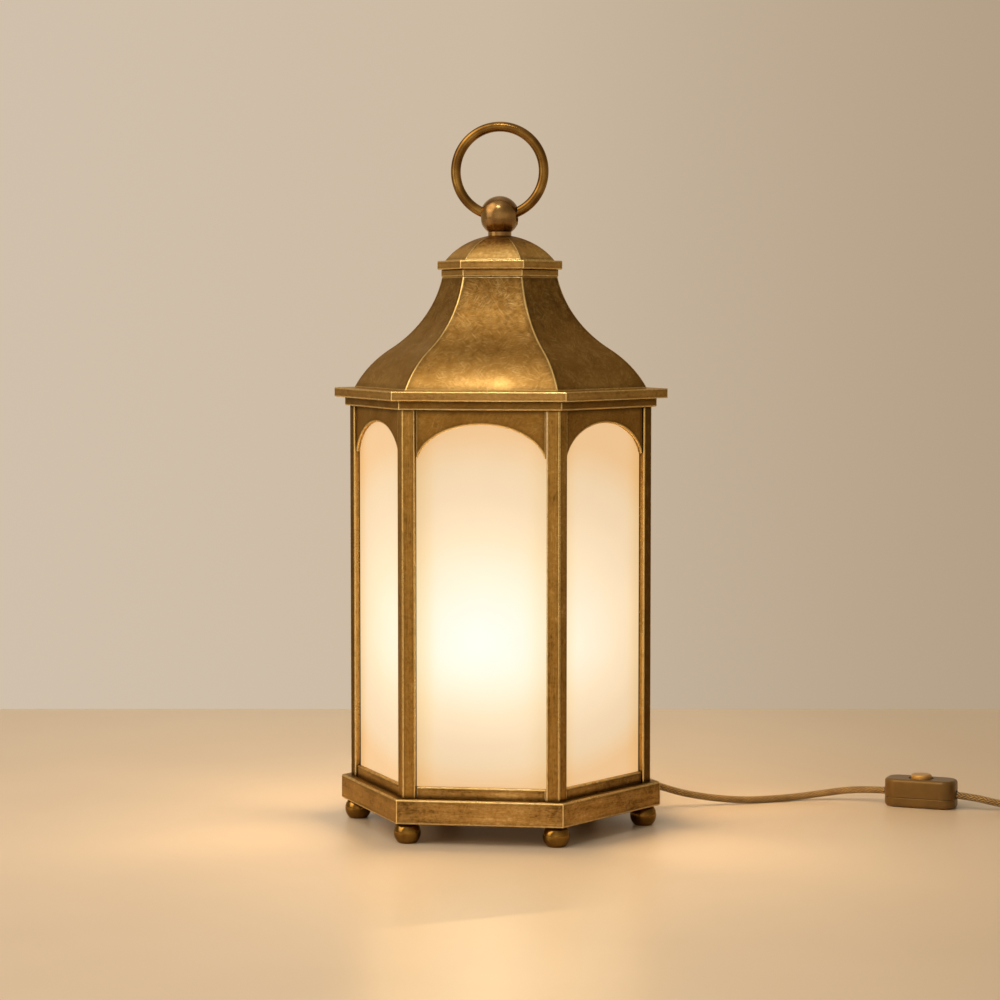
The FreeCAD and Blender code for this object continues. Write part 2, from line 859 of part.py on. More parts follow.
def push_button():
    """A round button with a flange that holds it in and a stem to the works."""
    top = switch_height + button_proud
    flange_top = switch_height - switch_wall - fit_gap
    flange_low = flange_top - button_flange_sheet
    radius = button_diameter / 2
    stem_low = works_top + button_travel + fit_gap
    return placed_switch(spun([
        (0, stem_low), (button_stem, stem_low), (button_stem, flange_low),
        (button_flange, flange_low), (button_flange, flange_top), (radius, flange_top),
        (radius, top - button_edge), (radius - button_edge, top), (0, top),
    ]))


# ---- plug ----
def placed_plug(shape):
    """Moves a shape that points along +X from where the cord ends to where the plug lies."""
    return moved(turned(shape, plug_heading), *PLUG_END, plug_height)


def plug_body():
    """A flat two-pin plug with a tapered strain relief, bored for the cord."""
    first, second = plug_shoulder
    x0 = relief_length - cord_in_plug
    half, thin, face = plug_width / 2, plug_cord_width / 2, plug_face_width / 2
    low = -plug_thickness / 2
    plan = outline([
        (x0, -thin, low), (x0 + first, -half, low), (x0 + second, -half, low),
        (x0 + plug_length, -face, low), (x0 + plug_length, face, low),
        (x0 + second, half, low), (x0 + first, half, low), (x0, thin, low),
    ])
    body = plan.extrude(UP * plug_thickness)
    body = body.makeFillet(plug_edge, body.Edges)
    cone = Part.makeCone(
        relief_thin, relief_thick, relief_length + plug_edge, Vector(-cord_in_plug, 0, 0), Vector(1, 0, 0)
    )
    bore = Part.makeCylinder(
        cord_diameter / 2 + cord_play, cord_in_plug, Vector(-cord_in_plug, 0, 0), Vector(1, 0, 0)
    )
    return placed_plug(joined([body, cone]).cut(bore))


def plug_pins():
    face = relief_length - cord_in_plug + plug_length
    radius = pin_diameter / 2
    pins = []
    for side in (-1, 1):
        pin = Part.makeCylinder(
            radius, pin_length, Vector(face, side * pin_spacing / 2, 0), Vector(1, 0, 0)
        )
        tip = [e for e in pin.Edges if e.CenterOfMass.x > face + pin_length - fit_gap]
        pins.append(pin.makeChamfer(radius / 2, tip))
    return placed_plug(Part.makeCompound(pins))


def round_the_frame(make):
    """Six copies of a piece, numbered from the first one's place."""
    piece = make()
    return [turned(piece, SECTOR * k) for k in range(SIDES)]


def build():
    nodes = {
        "base_tray": base_tray(),
        "bottom_cover": bottom_cover(),
        "bottom_rails": Part.makeCompound(round_the_frame(bottom_rail)),
        "lower_pane_stop": pane_stop(z_deck),
        "upper_pane_stop": pane_stop(z_frame - stop_height),
        "top_ring": top_ring(),
        "eave_plate": eave_plate(),
        "roof_shell": roof_shell(),
        "collar": slab_on_stud(collar_corner, z_collar, collar_height),
        "cap_plate": slab_on_stud(cap_corner, z_cap, cap_height),
        "dome_cap": dome_cap(),
        "finial_ball": finial_ball(),
        "finial_stud": rod(stud_radius, z_neck + stud_in_ball - stud_length, stud_length),
        "finial_nut": hex_nut(nut_corner, stud_radius, z_collar - nut_height, nut_height),
        "carry_ring": carry_ring(),
        "nipple": nipple(),
        "nipple_nuts": nipple_nuts(),
        "holder_stem": tube(stem_radius, nipple_radius + thread_gap, z_deck, stem_height),
        "holder_base": holder_base(),
        "holder_insert": holder_insert(),
        "holder_shell": holder_shell(),
        "bulb_cap": bulb_cap(),
        "bulb_glass": bulb_glass(),
        "cord_bushing": cord_bushing(),
        "inner_lead": inner_lead(),
        "lamp_cord": lamp_cord(),
        "mains_cord": mains_cord(),
        "plug_cord": plug_cord(),
        "cord_coil": cord_coil(),
        "coil_tie": coil_tie(),
        "switch_lower": switch_lower(),
        "switch_upper": switch_upper(),
        "switch_works": switch_works(),
        "push_button": push_button(),
        "plug_body": plug_body(),
        "plug_pins": plug_pins(),
    }
    repeated = {"foot": foot, "post": post, "spandrel": arch, "pane": pane}
    for name, make in repeated.items():
        for number, piece in enumerate(round_the_frame(make), start=1):
            nodes["%s_%d" % (name, number)] = piece
    return nodes


os.makedirs("parts", exist_ok=True)
for node, shape in build().items():
    if not shape.isValid():
        print("not valid:", node)
    shape.exportStep("parts/%s.step" % node)
    print("%-16s %2d solids %9.1f mm3" % (node, len(shape.Solids), shape.Volume))
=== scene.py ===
"""Lantern table lamp, dressed. Metres, in the row frame: +Z up, the table at z = 0."""

import math

import bmesh
import bpy
from mathutils import Matrix, Vector


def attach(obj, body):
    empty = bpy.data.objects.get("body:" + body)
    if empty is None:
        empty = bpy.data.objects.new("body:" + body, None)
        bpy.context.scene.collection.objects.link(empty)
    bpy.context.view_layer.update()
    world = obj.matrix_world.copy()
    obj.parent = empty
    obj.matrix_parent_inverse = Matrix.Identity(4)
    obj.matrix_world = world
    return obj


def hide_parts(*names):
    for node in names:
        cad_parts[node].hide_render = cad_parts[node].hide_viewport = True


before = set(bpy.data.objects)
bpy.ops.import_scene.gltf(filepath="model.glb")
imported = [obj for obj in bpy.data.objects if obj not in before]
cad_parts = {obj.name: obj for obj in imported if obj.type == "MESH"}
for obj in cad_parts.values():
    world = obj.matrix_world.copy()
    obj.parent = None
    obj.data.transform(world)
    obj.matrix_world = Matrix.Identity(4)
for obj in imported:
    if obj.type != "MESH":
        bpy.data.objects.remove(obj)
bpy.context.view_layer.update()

MM = 0.001
CORD = 6.0 * MM
BODY = "lantern_body"
SIX = range(1, 7)

# ---- camera ----
VIEW_TURN = math.radians(8.0)
EYE_ACROSS = 0.00027
EYE_AWAY = 2.323
EYE_HEIGHT = 0.4255
EYE_PITCH = math.radians(3.82)
LENS_MM = 100.4
SENSOR_MM = 36.0


def from_view(x, y, z=0.0):
    """A point given across and away from the camera, in the row frame."""
    return Vector((
        x * math.cos(VIEW_TURN) - y * math.sin(VIEW_TURN),
        x * math.sin(VIEW_TURN) + y * math.cos(VIEW_TURN),
        z,
    ))


RIGHT = from_view(1, 0)
AHEAD = from_view(0, 1)


def add_to_scene(name, data):
    made = bpy.data.objects.new(name, data)
    bpy.context.scene.collection.objects.link(made)
    return made


def set_camera():
    data = bpy.data.cameras.new("camera")
    data.sensor_width = SENSOR_MM
    data.lens = LENS_MM
    camera = add_to_scene("camera", data)
    camera.location = from_view(EYE_ACROSS, -EYE_AWAY, EYE_HEIGHT)
    camera.rotation_euler = (math.pi / 2 - EYE_PITCH, 0.0, VIEW_TURN)
    bpy.context.scene.camera = camera
    bpy.context.scene.view_settings.view_transform = "Standard"


set_camera()


# ---- node helpers ----
class Nodes:
    """Short ways to build a node tree."""

    def __init__(self, tree):
        self.tree = tree

    def link(self, value, socket):
        if isinstance(value, bpy.types.NodeSocket):
            self.tree.links.new(value, socket)
        else:
            socket.default_value = value

    def add(self, kind, inputs=(), out=0, **settings):
        node = self.tree.nodes.new("ShaderNode" + kind)
        for name, value in settings.items():
            setattr(node, name, value)
        for key, value in dict(inputs).items():
            self.link(value, node.inputs[key])
        return node if out is None else node.outputs[out]

    def math(self, operation, a, b=0.0, c=0.0, clamp=False):
        return self.add("Math", {0: a, 1: b, 2: c}, operation=operation, use_clamp=clamp)

    def between(self, value, low, high, to_low=0.0, to_high=1.0):
        return self.add(
            "MapRange", {0: value, 1: low, 2: high, 3: to_low, 4: to_high}, interpolation_type="SMOOTHSTEP"
        )

    def mix(self, factor, a, b, blend="MIX"):
        node = self.add("Mix", out=None, data_type="RGBA", blend_type=blend)
        self.link(factor, node.inputs[0])
        self.link(a, node.inputs[6])
        self.link(b, node.inputs[7])
        return node.outputs[2]

    def noise(self, vector, scale, detail=4.0, roughness=0.55):
        return self.add(
            "TexNoise", {"Vector": vector, "Scale": scale, "Detail": detail, "Roughness": roughness}
        )

    def scaled(self, vector, scale):
        return self.add("Mapping", {"Vector": vector, "Scale": scale})

    def turned(self, vector, angle):
        return self.add("Mapping", {"Vector": vector, "Rotation": (0.0, 0.0, angle)})

    def place(self):
        """The spot on the piece, in the row frame."""
        return self.add("TexCoord", out=3)

    def xyz(self, vector):
        return self.add("SeparateXYZ", {0: vector}, out=None).outputs

    def dot(self, a, b):
        return self.add("VectorMath", {0: a, 1: b}, operation="DOT_PRODUCT", out=1)

    def grey(self, value):
        return self.add("CombineColor", {0: value, 1: value, 2: value})

    def rounding(self, radius):
        """The rounded normal, and how far it bends from the flat one: 0 on a face, more at an arris."""
        rounded = self.add("Bevel", {"Radius": radius}, samples=6)
        flat = self.add("NewGeometry", out=1)
        return rounded, self.math("SUBTRACT", 1.0, self.dot(rounded, flat))

    def ramp(self, factor, stops):
        node = self.add("ValToRGB", {0: factor}, out=None)
        ramp = node.color_ramp
        while len(ramp.elements) < len(stops):
            ramp.elements.new(0.5)
        for element, (place, colour) in zip(ramp.elements, stops):
            element.position = place
            element.color = (*colour, 1.0)
        return node.outputs[0]


def material(name):
    made = bpy.data.materials.new(name)
    made.use_nodes = True
    made.node_tree.nodes.clear()
    nodes = Nodes(made.node_tree)
    shader = nodes.add("BsdfPrincipled", out=None)
    nodes.add("OutputMaterial", {0: shader.outputs[0]}, out=None)
    return made, nodes, shader


def rgb(red, green, blue):
    return (red, green, blue, 1.0)


def shade_of(colour, share):
    return rgb(*(min(1.0, part * share) for part in colour[:3]))


WHITE = rgb(1.0, 1.0, 1.0)


# ---- old brass ----
SIXTH = math.pi / 3
PATINA_INPUTS = (
    ("Grain", "Vector", None),
    # The next input lightens and smooths the brass, or darkens and roughens it; it carries painted
    # highlight and painted shade.
    ("PolishAndPaintedLight", "Float", 0.0),
    ("Dark", "Color", rgb(0.16, 0.08, 0.018)),
    ("Base", "Color", rgb(0.40, 0.215, 0.05)),
    ("Bright", "Color", rgb(0.66, 0.42, 0.14)),
    ("Edge", "Color", rgb(1.0, 0.755, 0.35)),
    ("Clouds", "Float", 0.55),
    ("Bands", "Float", 0.0),
    ("Mottle", "Float", 0.7),
    ("Streaks", "Float", 0.4),
    ("Strokes", "Float", 0.0),
    ("Hairlines", "Float", 0.4),
    ("EdgeWearAndHighlight", "Float", 1.0),
    ("Width", "Float", 0.0016),
    ("Roughness", "Float", 0.36),
    ("Relief", "Float", 0.2),
)
PATINA_OUTPUTS = (("Color", "Color"), ("Roughness", "Float"), ("Normal", "Vector"))
STROKE_TURNS = (0.16, -0.22, 0.03)
HAIRLINE_TURNS_AND_SIZES = ((0.35, 1.0), (-0.5, 1.2), (1.05, 0.8), (2.2, 1.1), (-1.2, 0.9), (0.0, 1.4))
CORNER_REACH = 0.006
FACE_SHIFT = 0.7         # moves the pattern from face to face, so that no two are alike
FACE_SLOPE = -0.8
GIRTH_RADIUS = 0.12      # where the grain round the lamp has its true size


def face_place(n):
    """Flat coordinates on each of the six faces: across it, and down its slope."""
    x, y, z = n.xyz(n.place())
    face = n.math("FLOOR", n.math("DIVIDE", n.math("ARCTAN2", y, x), SIXTH))
    middle = n.math("MULTIPLY_ADD", face, SIXTH, SIXTH / 2)
    sine, cosine = n.math("SINE", middle), n.math("COSINE", middle)
    across = n.math("SUBTRACT", n.math("MULTIPLY", y, cosine), n.math("MULTIPLY", x, sine))
    out = n.math("ADD", n.math("MULTIPLY", x, cosine), n.math("MULTIPLY", y, sine))
    down = n.math("MULTIPLY_ADD", out, FACE_SLOPE, z)
    return n.add("CombineXYZ", {0: n.math("MULTIPLY_ADD", face, FACE_SHIFT, across), 1: down})


def tarnish_and_painted_light(n, given, sheet, patterns):
    """Brass from dark to bright, by its patterns and bands, lifted or lowered by the painted light of the
    polish input, with short dark strokes.
    """
    bands = n.noise(n.scaled(sheet, (14.0, 170.0, 1.0)), 1.0, 4.0, 0.6)
    tone = n.math("ADD", 0.5, given["PolishAndPaintedLight"])
    for weight, pattern in (*patterns.items(), ("Bands", bands)):
        tone = n.math("MULTIPLY_ADD", n.math("SUBTRACT", pattern, 0.5), given[weight], tone)
    low = n.between(tone, 0.18, 0.52)
    high = n.between(tone, 0.50, 0.86)
    colour = n.mix(high, n.mix(low, given["Dark"], given["Base"]), given["Bright"])
    strokes = 0.0
    for turn in STROKE_TURNS:
        lay = n.scaled(n.turned(sheet, turn), (130.0, 1500.0, 1.0))
        strokes = n.math("MAXIMUM", strokes, n.between(n.noise(lay, 1.0, 1.0, 0.4), 0.70, 0.76))
    return n.mix(n.math("MULTIPLY", strokes, given["Strokes"]), colour, given["Dark"])


def hairlines(n, given, sheet):
    """Fine scratches in six directions, gathered in patches."""
    lines = 0.0
    for turn, size in HAIRLINE_TURNS_AND_SIZES:
        lay = n.turned(sheet, turn)
        fine = n.scaled(lay, (75 * size, 3300 * size, 1.0))
        hair = n.between(n.noise(fine, 1.0, 1.5, 0.5), 0.60, 0.70)
        patch = n.between(n.noise(lay, 60.0 * size, 2.0), 0.45, 0.62)
        lines = n.math("MAXIMUM", lines, n.math("MULTIPLY", hair, patch))
    return n.math("MULTIPLY", lines, given["Hairlines"], clamp=True)


def edge_wear_and_highlight(n, given, bend, corner):
    """How bright an arris is: partly rubbed wear, partly a painted highlight, broken up a little, and only
    where it stands free.
    """
    arris = n.between(bend, 0.0015, 0.018)
    free = n.between(corner, 0.25, 0.60)
    broken = n.between(n.noise(n.place(), 120.0, 3.0), 0.30, 0.52)
    wear_and_highlight = n.math("MULTIPLY", n.math("MULTIPLY", arris, free), given["EdgeWearAndHighlight"])
    return n.math("MULTIPLY", wear_and_highlight, n.math("MULTIPLY_ADD", broken, 0.3, 0.7), clamp=True)


def make_patina():
    """The group that every brass shares: clouds, grain, hairlines, arrises brightened by wear and painted
    highlight, and painted shade beside arrises and in corners.
    """
    tree = bpy.data.node_groups.new("patina", "ShaderNodeTree")
    for name, kind, value in PATINA_INPUTS:
        socket = tree.interface.new_socket(name, in_out="INPUT", socket_type="NodeSocket" + kind)
        if value is not None:
            socket.default_value = value
    for name, kind in PATINA_OUTPUTS:
        tree.interface.new_socket(name, in_out="OUTPUT", socket_type="NodeSocket" + kind)
    n = Nodes(tree)
    given = tree.nodes.new("NodeGroupInput").outputs
    sheet = face_place(n)
    clouds = n.noise(n.place(), 26.0, 5.0, 0.6)
    mottle = n.noise(n.place(), 330.0, 5.0, 0.7)
    grain = n.noise(given["Grain"], 1.0, 5.0, 0.65)
    rounded, bend = n.rounding(given["Width"])
    broad_bend = n.rounding(n.math("MULTIPLY", given["Width"], 3.6))[1]
    corner = n.add("AmbientOcclusion", {"Distance": CORNER_REACH}, samples=6, out=1)
    lines = hairlines(n, given, sheet)
    wear_and_highlight = edge_wear_and_highlight(n, given, bend, corner)

    colour = tarnish_and_painted_light(n, given, sheet, {"Clouds": clouds, "Mottle": mottle, "Streaks": grain})
    colour = n.mix(lines, colour, given["Edge"])
    # Painted shade: a darker band beside each arris.
    shade_beside_arris = n.between(broad_bend, 0.0005, 0.02, 1.0, 0.62)
    colour = n.mix(1.0, colour, n.grey(shade_beside_arris), "MULTIPLY")
    # The arrises brightened: partly rubbed wear, partly a painted highlight.
    colour = n.mix(wear_and_highlight, colour, given["Edge"])
    # Painted shade in corners and hollows, where ambient occlusion finds them.
    corner_shade = n.between(corner, 0.30, 0.95, 0.12, 1.0)
    colour = n.mix(1.0, colour, n.grey(corner_shade), "MULTIPLY")

    grit = n.math("MULTIPLY", n.math("SUBTRACT", mottle, 0.5), given["Mottle"])
    rough = n.math("MULTIPLY_ADD", grit, 0.40, given["Roughness"])
    rough = n.math("MULTIPLY_ADD", n.math("SUBTRACT", 0.5, clouds), 0.30, rough)
    rough = n.math("MULTIPLY_ADD", given["PolishAndPaintedLight"], -0.25, rough)
    rough = n.math("MULTIPLY_ADD", wear_and_highlight, -0.10, rough, clamp=True)

    height = n.math("MULTIPLY_ADD", grain, given["Streaks"], n.math("MULTIPLY", mottle, 0.5))
    height = n.math("MULTIPLY_ADD", lines, -0.8, height)
    normal = n.add(
        "Bump", {"Strength": given["Relief"], "Distance": 0.0003, "Height": height, "Normal": rounded}
    )
    out = tree.nodes.new("NodeGroupOutput")
    for name, value in (("Color", colour), ("Roughness", rough), ("Normal", normal)):
        tree.links.new(value, out.inputs[name])
    return tree


PATINA = make_patina()
RIM_TINT = rgb(0.93, 0.79, 0.60)    # brass stays warm where it is seen edge-on


def round_grain(n, along, across, up):
    """Grain coordinates round the lamp: `along` its girth, `across` outward, and `up`."""
    x, y, z = n.xyz(n.place())
    girth = n.math("MULTIPLY", n.math("ARCTAN2", y, x), GIRTH_RADIUS)
    out = n.math("SQRT", n.math("ADD", n.math("POWER", x, 2.0), n.math("POWER", y, 2.0)))
    parts = [n.math("MULTIPLY", v, k) for v, k in ((girth, along), (out, across), (z, up))]
    return n.add("CombineXYZ", dict(enumerate(parts)))


def brass(name, grain, **settings):
    """A brass with the shared patina: `grain` as in round_grain, the rest as PATINA_INPUTS."""
    made, n, shader = material(name)
    group = n.tree.nodes.new("ShaderNodeGroup")
    group.node_tree = PATINA
    n.link(round_grain(n, *grain), group.inputs["Grain"])
    for key, value in settings.items():
        group.inputs[key].default_value = value
    shader.inputs["Metallic"].default_value = 1.0
    shader.inputs["Specular Tint"].default_value = RIM_TINT
    n.link(group.outputs["Color"], shader.inputs["Base Color"])
    n.link(group.outputs["Roughness"], shader.inputs["Roughness"])
    n.link(group.outputs["Normal"], shader.inputs["Normal"])
    return made


ROOF_BRASS = brass(
    "brass_roof", (90.0, 90.0, 90.0), Clouds=0.36, Mottle=0.5, Streaks=0.25, Hairlines=0.45, Width=0.0021,
    Base=rgb(0.27, 0.147, 0.037), Dark=rgb(0.11, 0.055, 0.012), Bright=rgb(0.52, 0.325, 0.11),
    Roughness=0.42, Relief=0.20,
)
DOME_BRASS = brass(
    "brass_dome", (90.0, 90.0, 90.0), Clouds=0.6, Streaks=0.3, Hairlines=0.3,
    Base=rgb(0.50, 0.30, 0.092), Dark=rgb(0.19, 0.095, 0.024), Bright=rgb(0.82, 0.58, 0.25),
    Roughness=0.40,
)
PLATE_BRASS = brass(
    "brass_plate", (60.0, 600.0, 2200.0), Bands=0.4, Streaks=0.5, Hairlines=0.2, Strokes=0.25,
    Base=rgb(0.47, 0.275, 0.085), Dark=rgb(0.20, 0.10, 0.026), Bright=rgb(0.74, 0.50, 0.21),
)
BASE_BRASS = brass(
    "brass_base", (55.0, 600.0, 1900.0), Clouds=0.8, Bands=0.8, Streaks=0.7, Strokes=0.7,
    Base=rgb(0.36, 0.210, 0.064), Dark=rgb(0.125, 0.066, 0.018), Bright=rgb(0.62, 0.42, 0.17),
    Hairlines=0.2, Roughness=0.38,
)
POST_BRASS = brass(
    "brass_post", (1500.0, 1500.0, 60.0), Clouds=0.6, Streaks=0.7, Hairlines=0.15, Width=0.0012,
    Base=rgb(0.33, 0.18, 0.043), Dark=rgb(0.11, 0.054, 0.011), Bright=rgb(0.58, 0.36, 0.12),
    Roughness=0.38,
)
ARCH_BRASS = brass(
    "brass_arch", (60.0, 600.0, 1200.0), Clouds=0.6, Streaks=0.45, Hairlines=0.2, Strokes=0.3,
    Base=rgb(0.26, 0.135, 0.030), Dark=rgb(0.12, 0.058, 0.011), Bright=rgb(0.42, 0.25, 0.07),
    Roughness=0.42,
)


def burnished(name, dark, base, bright, roughness, lacquer):
    """The turned and drawn parts: smooth, lacquered, a little cloudy, with no worn edges."""
    made, n, shader = material(name)
    clouds = n.noise(n.place(), 45.0, 4.0, 0.6)
    fine = n.noise(n.place(), 800.0, 3.0)
    n.link(n.ramp(clouds, ((0.30, dark), (0.50, base), (0.72, bright))), shader.inputs["Base Color"])
    n.link(n.between(clouds, 0.3, 0.7, roughness + 0.04, roughness - 0.04), shader.inputs["Roughness"])
    n.link(n.add("Bump", {"Strength": 0.04, "Distance": 0.0002, "Height": fine}), shader.inputs["Normal"])
    shader.inputs["Metallic"].default_value = 1.0
    shader.inputs["Specular Tint"].default_value = RIM_TINT
    shader.inputs["Coat Weight"].default_value = lacquer
    shader.inputs["Coat Roughness"].default_value = 0.22
    return made


BALL_BRASS = burnished(
    "brass_ball", (0.14, 0.070, 0.015), (0.23, 0.122, 0.028), (0.38, 0.225, 0.066), 0.24, 0.8,
)
RING_BRASS = burnished(
    "brass_ring", (0.11, 0.052, 0.010), (0.185, 0.095, 0.019), (0.32, 0.185, 0.048), 0.22, 0.15,
)
# A darker copy of the burnished brass for the feet: painted shade, to offset the bright table they stand
# by.
SHADED_FOOT_BRASS = burnished(
    "brass_foot_shaded", (0.11, 0.052, 0.008), (0.18, 0.092, 0.016), (0.31, 0.175, 0.036), 0.17, 0.12,
)
SHEET_BRASS = brass(
    "brass_sheet", (120.0, 120.0, 900.0), Clouds=0.4, Streaks=0.4, Hairlines=0.2, Roughness=0.34,
    Base=rgb(0.55, 0.36, 0.125), Dark=rgb(0.33, 0.19, 0.06), Bright=rgb(0.72, 0.50, 0.21),
)


SWELL_ENDS = (0.366, 0.386)          # heights between which the painted light changes
HOLLOW_STARTS = (0.375, 0.400)
HOLLOW_DULLS = (0.405, 0.435)
DOME_BROWNS = (0.4725, 0.4885)
POSTS_BROWN = (0.075, 0.105)         # distances to the side between which the posts' painted shade and the base's tone change
BASE_BROWNS = (0.070, 0.100)


def patina_in(finish):
    """Ways into the node tree of a brass, and its patina group."""
    n = Nodes(finish.node_tree)
    return n, next(node for node in n.tree.nodes if node.type == "GROUP")


def paint_highlight_on_roof_foot():
    """Painted highlight: the swell above the eave is lighter and glossier, most across the middle of each
    face. Higher up, painted shade makes it darker and rougher.
    """
    n, patina = patina_in(ROOF_BRASS)
    x, y, z = n.xyz(n.place())
    sector = n.math("FLOORED_MODULO", n.math("ARCTAN2", y, x), SIXTH)
    off_middle = n.math("ABSOLUTE", n.math("SUBTRACT", sector, SIXTH / 2))
    middle = n.between(off_middle, 0.12, 0.50, 1.0, 0.0)
    low = n.between(z, *SWELL_ENDS, 1.0, 0.0)
    # Painted shade on the hollow above the swell.
    hollow_shade = n.math("ADD", n.between(z, *HOLLOW_STARTS, 0.0, -0.05), n.between(z, *HOLLOW_DULLS, 0.0, -0.10))
    n.link(n.math("MULTIPLY_ADD", n.math("MULTIPLY", low, middle), 0.19, hollow_shade), patina.inputs["PolishAndPaintedLight"])


def darken_the_dome_top():
    """Painted light: the dome is darker round the ball, as painted shade, and brighter at its foot, as a
    painted highlight.
    """
    n, patina = patina_in(DOME_BRASS)
    z = n.xyz(n.place())[2]
    n.link(n.between(z, *DOME_BROWNS, 0.10, -0.28), patina.inputs["PolishAndPaintedLight"])


def shade_the_side_posts():
    """Painted light on the posts at the two sides: darker on the outside, as painted shade, and brighter
    in the glazed openings, as painted glow from the glass.
    """
    n, patina = patina_in(POST_BRASS)
    place = n.place()
    to_side = n.between(n.math("ABSOLUTE", n.dot(place, RIGHT)), *POSTS_BROWN)
    outward = n.add("VectorMath", {0: place, 1: (1.0, 1.0, 0.0)}, operation="MULTIPLY")
    outward = n.add("VectorMath", {0: outward}, operation="NORMALIZE")
    facing = n.dot(outward, n.add("NewGeometry", out=1))
    # Painted shade on outward faces, painted glow on the others.
    shade_and_glow = n.between(facing, 0.60, 0.80, 0.25, -0.34)
    n.link(n.math("MULTIPLY", to_side, shade_and_glow), patina.inputs["PolishAndPaintedLight"])


def dull_the_base():
    """The tray and the rails are browner on the side towards the cord."""
    n, patina = patina_in(BASE_BRASS)
    n.link(n.between(n.dot(n.place(), RIGHT), *BASE_BROWNS, 0.0, -0.15), patina.inputs["PolishAndPaintedLight"])


paint_highlight_on_roof_foot()
darken_the_dome_top()
shade_the_side_posts()
dull_the_base()


# ---- other finishes ----
def metal(name, colour, roughness):
    """A plain bright metal with a fine grit."""
    made, n, shader = material(name)
    grit = n.noise(round_grain(n, 300.0, 300.0, 300.0), 1.0, 4.0)
    n.link(n.mix(n.between(grit, 0.3, 0.7), colour, shade_of(colour, 0.72)), shader.inputs["Base Color"])
    n.link(n.between(grit, 0.2, 0.8, roughness - 0.08, roughness + 0.12), shader.inputs["Roughness"])
    n.link(n.add("Bump", {"Strength": 0.15, "Distance": 0.0002, "Height": grit}), shader.inputs["Normal"])
    shader.inputs["Metallic"].default_value = 1.0
    return made


def moulded(name, colour, roughness=0.5, drifted=0.85, grain=2600.0, relief=0.25, metallic=0.0):
    """A moulded surface: fine texture, faint drift of colour, and lighter edges that are partly soft wear
    and partly a painted highlight.
    """
    made, n, shader = material(name)
    drift = n.noise(n.place(), 60.0, 3.0)
    fine = n.noise(n.place(), grain, 2.0, 0.7)
    rounded, bend = n.rounding(0.0009)
    edge = n.between(bend, 0.01, 0.12)
    tint = n.mix(n.between(drift, 0.3, 0.7), colour, shade_of(colour, drifted))
    # Lighter edges: partly wear, partly a painted highlight.
    tint = n.mix(n.math("MULTIPLY", edge, 0.45), tint, shade_of(colour, 1.7))
    n.link(tint, shader.inputs["Base Color"])
    n.link(n.between(fine, 0.3, 0.7, roughness - 0.06, roughness + 0.08), shader.inputs["Roughness"])
    bump = n.add("Bump", {"Strength": relief, "Distance": 0.0002, "Height": fine, "Normal": rounded})
    n.link(bump, shader.inputs["Normal"])
    shader.inputs["Metallic"].default_value = metallic
    return made


STEEL = metal("zinc_steel", rgb(0.60, 0.60, 0.60), 0.34)
PIN_METAL = metal("pin_metal", rgb(0.78, 0.77, 0.74), 0.20)
CAP_METAL = metal("bulb_metal", rgb(0.74, 0.74, 0.73), 0.30)
PORCELAIN = moulded("porcelain", rgb(0.86, 0.84, 0.79), 0.18, 0.96, 300.0, 0.03)
DARK_PLASTIC = moulded("dark_plastic", rgb(0.035, 0.028, 0.022), 0.55)
STRAP = moulded("tie_strap", rgb(0.045, 0.035, 0.028), 0.6, relief=0.5)
SLEEVE = moulded("lead_sleeve", rgb(0.72, 0.68, 0.58), 0.4)
BRONZE_PLASTIC = moulded("bronze_plastic", rgb(0.160, 0.091, 0.026), 0.34, 0.8, 1800.0, 0.12, 0.6)
GOLD_PLASTIC = moulded("gold_button", rgb(0.52, 0.31, 0.10), 0.34, 0.9, 1800.0, 0.10, 0.75)
PLUG_PLASTIC = moulded("plug_plastic", rgb(0.115, 0.062, 0.026), 0.5, 0.85, 1800.0, 0.25)


def let_light_through(n, shader, tint):
    """Shadow rays pass, so the light at the bulb reaches the table through the glass."""
    clear = n.add("BsdfTransparent", {0: tint})
    both = n.add("MixShader", {0: n.add("LightPath", out=1), 1: shader.outputs[0], 2: clear})
    output = next(node for node in n.tree.nodes if node.type == "OUTPUT_MATERIAL")
    n.link(both, output.inputs[0])


GLOW_HEIGHT = 0.163      # the brightest spots: this high, this far left of the middle,
GLOW_LEFT = 0.006        # and this far before and behind it
GLOW_DEPTH = 0.045
GLOW_DROP = 1.42         # the glow fades faster downwards
GLOW_FADE = 8.2          # how fast it fades with distance, past a core of even glow
GLOW_CORE = 0.45
PANE_OUT = 0.1045        # from the lamp's axis to a pane's face
SIDE_PANES = (0.050, 0.056)          # distances to the side between which the side panes start
PANE_WARMS = (0.030, 0.053)          # distances from a pane's middle line
PANE_FADES = (0.036, 0.053)
PANE_ENDS = (0.0521, 0.0526)
BULB_HEIGHTS = (0.108, 0.175)


def painted_glow(n, across, ahead, height):
    """The colour of the glow, by how far a spot is from the nearer of the two brightest spots."""
    rise = n.math("SUBTRACT", height, GLOW_HEIGHT)
    gaps = (
        n.math("ADD", across, GLOW_LEFT),
        n.math("SUBTRACT", n.math("ABSOLUTE", ahead), GLOW_DEPTH),
        n.math("MAXIMUM", rise, n.math("MULTIPLY", rise, -GLOW_DROP)),
    )
    squares = [n.math("MULTIPLY", gap, gap) for gap in gaps]
    away = n.math("SQRT", n.math("ADD", n.math("ADD", squares[0], squares[1]), squares[2]))
    return n.ramp(n.math("MULTIPLY_ADD", away, GLOW_FADE, -GLOW_CORE), (
        (0.02, (0.98, 0.95, 0.87)), (0.08, (0.97, 0.93, 0.80)), (0.166, (0.965, 0.895, 0.71)),
        (0.40, (0.945, 0.755, 0.51)), (0.63, (0.86, 0.655, 0.43)), (0.80, (0.825, 0.615, 0.385)),
        (1.0, (0.81, 0.515, 0.26)),
    ))


